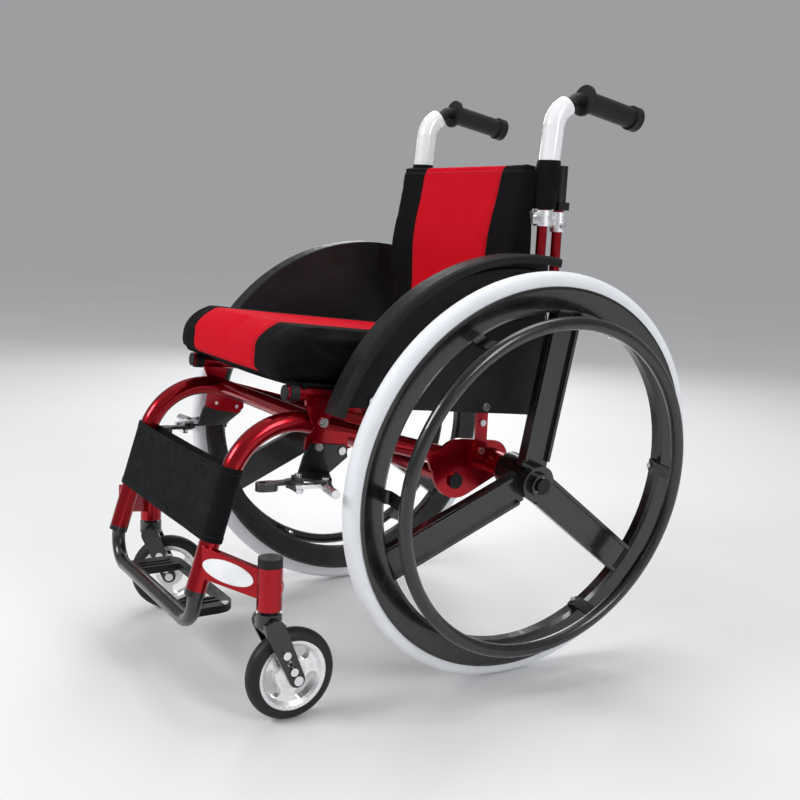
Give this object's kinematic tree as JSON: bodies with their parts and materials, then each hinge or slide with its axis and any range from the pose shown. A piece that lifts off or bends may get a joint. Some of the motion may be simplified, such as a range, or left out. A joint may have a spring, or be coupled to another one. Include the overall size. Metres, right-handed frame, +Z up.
{
  "type": "manual wheelchair",
  "caption": "Rigid-frame manual wheelchair: cambered spoke wheels with handrims, swivelling casters, cushion seat, folding backrest with push handles, wheel brakes.",
  "frame": {"origin": "on the floor, at the centre of the bounding box", "axes": "+Z up, the occupant faces -Y, the occupant's left side is +X"},
  "size_m": [0.721, 0.7855, 0.8851],
  "materials": {
    "red_paint": "gloss red paint",
    "black_paint": "satin black paint",
    "black_plastic": "matte black plastic",
    "steel": "zinc-plated steel",
    "silver": "satin aluminium",
    "white_paint": "white enamel",
    "badge": "plain white badge",
    "red_fabric": "red woven upholstery with black sides",
    "black_fabric": "black nylon",
    "wheel_black": "gloss black moulded composite",
    "tyre_light": "light grey solid tyre",
    "tyre_black": "black solid tyre",
    "rubber": "black rubber grip"
  },
  "bodies": {
    "frame": {"side_tube_left": "red_paint", "side_tube_right": "red_paint", "front_cross_tube": "red_paint", "rear_cross_tube": "red_paint", "seat_rails": "red_paint", "axle_plate_left": "red_paint", "axle_plate_right": "red_paint", "caster_housing_left": "red_paint", "caster_housing_right": "red_paint", "gusset_badges": "badge", "swivel_bearings": "steel", "footrest_tube": "black_paint", "footplate": "black_plastic", "calf_strap": "black_fabric", "seat_sling": "black_fabric", "seat_cushion": "red_fabric", "side_guard_left": "black_plastic", "side_guard_right": "black_plastic", "back_brackets": "black_paint", "frame_bolts": "steel", "wheel_axles": "steel", "frame_caps": "black_plastic", "brake_brackets": "black_paint", "brake_pins": "steel"},
    "backrest": {"back_cane_left": "red_paint", "back_cane_right": "red_paint", "post_sleeves": "black_plastic", "cane_clamps": "silver", "push_tube_left": "white_paint", "push_tube_right": "white_paint", "grip_left": "rubber", "grip_right": "rubber", "back_upholstery": "red_fabric", "clamp_bolts": "steel"},
    "rear_wheel_left": {"wheel_left": "wheel_black", "tyre_left": "tyre_light", "handrim_left": "black_paint", "handrim_bolts_left": "steel", "hub_bearings_left": "steel"},
    "button_left": {"axle_button_left": "black_plastic"},
    "fork_assembly_left": {"fork_left": "black_paint", "caster_axle_left": "steel"},
    "caster_wheel_left": {"caster_left": "silver", "caster_tyre_left": "tyre_black"},
    "lever_left": {"brake_lever_left": "black_paint"},
    "link_left": {"brake_link_left": "steel"},
    "shoe_left": {"brake_shoe_left": "steel"},
    "rear_wheel_right": {"wheel_right": "wheel_black", "tyre_right": "tyre_light", "handrim_right": "black_paint", "handrim_bolts_right": "steel", "hub_bearings_right": "steel"},
    "button_right": {"axle_button_right": "black_plastic"},
    "fork_assembly_right": {"fork_right": "black_paint", "caster_axle_right": "steel"},
    "caster_wheel_right": {"caster_right": "silver", "caster_tyre_right": "tyre_black"},
    "lever_right": {"brake_lever_right": "black_paint"},
    "link_right": {"brake_link_right": "steel"},
    "shoe_right": {"brake_shoe_right": "steel"}
  },
  "joints": [
    {"name": "backrest_fold", "type": "hinge", "parent": "frame", "child": "backrest", "pos_m": [0, 0.1625, 0.53], "axis": [1, 0, 0], "range_deg": [0, 75]},
    {"name": "rear_wheel_spin_left", "type": "hinge", "parent": "frame", "child": "rear_wheel_left", "pos_m": [0.272, 0.0875, 0.3034], "axis": [0.9945, 0, -0.1045], "continuous": true},
    {"name": "axle_button_press_left", "type": "slide", "parent": "frame", "child": "button_left", "axis": [-0.9945, 0, 0.1045], "range_m": [0, 0.004], "stiffness_N_per_m": 600},
    {"name": "caster_swivel_left", "type": "hinge", "parent": "frame", "child": "fork_assembly_left", "pos_m": [0.234, -0.3025, 0.185], "axis": [0, 0, 1], "continuous": true},
    {"name": "caster_spin_left", "type": "hinge", "parent": "fork_assembly_left", "child": "caster_wheel_left", "pos_m": [0.23512, -0.27052, 0.063], "axis": [0.9994, -0.0349, 0], "continuous": true},
    {"name": "brake_lever_left", "type": "hinge", "parent": "frame", "child": "lever_left", "pos_m": [0.2, -0.2485, 0.315], "axis": [0, 0, 1], "range_deg": [0, 45]},
    {"name": "brake_shoe_left", "type": "hinge", "parent": "frame", "child": "shoe_left", "pos_m": [0.232, -0.2245, 0.315], "axis": [0, 0, 1], "range_deg": [0, 15]},
    {"name": "brake_link_left", "type": "hinge", "parent": "lever_left", "child": "link_left", "pos_m": [0.19541, -0.25959, 0.31], "axis": [0, 0, 1], "range_deg": [-45, 0]},
    {"name": "rear_wheel_spin_right", "type": "hinge", "parent": "frame", "child": "rear_wheel_right", "pos_m": [-0.272, 0.0875, 0.3034], "axis": [0.9945, 0, 0.1045], "continuous": true},
    {"name": "axle_button_press_right", "type": "slide", "parent": "frame", "child": "button_right", "axis": [0.9945, 0, 0.1045], "range_m": [0, 0.004], "stiffness_N_per_m": 600},
    {"name": "caster_swivel_right", "type": "hinge", "parent": "frame", "child": "fork_assembly_right", "pos_m": [-0.234, -0.3025, 0.185], "axis": [0, 0, 1], "continuous": true},
    {"name": "caster_spin_right", "type": "hinge", "parent": "fork_assembly_right", "child": "caster_wheel_right", "pos_m": [-0.22201, -0.27283, 0.063], "axis": [0.9272, -0.3746, 0], "continuous": true},
    {"name": "brake_lever_right", "type": "hinge", "parent": "frame", "child": "lever_right", "pos_m": [-0.2, -0.2485, 0.315], "axis": [0, 0, -1], "range_deg": [0, 45]},
    {"name": "brake_shoe_right", "type": "hinge", "parent": "frame", "child": "shoe_right", "pos_m": [-0.232, -0.2245, 0.315], "axis": [0, 0, -1], "range_deg": [0, 15]},
    {"name": "brake_link_right", "type": "hinge", "parent": "lever_right", "child": "link_right", "pos_m": [-0.19541, -0.25959, 0.31], "axis": [0, 0, -1], "range_deg": [-45, 0]}
  ],
  "couplings": [
    {"joint": "brake_shoe_left", "follows": "brake_lever_left", "ratio": 0.33333},
    {"joint": "brake_link_left", "follows": "brake_lever_left", "ratio": -1},
    {"joint": "brake_shoe_right", "follows": "brake_lever_right", "ratio": 0.33333},
    {"joint": "brake_link_right", "follows": "brake_lever_right", "ratio": -1}
  ]
}
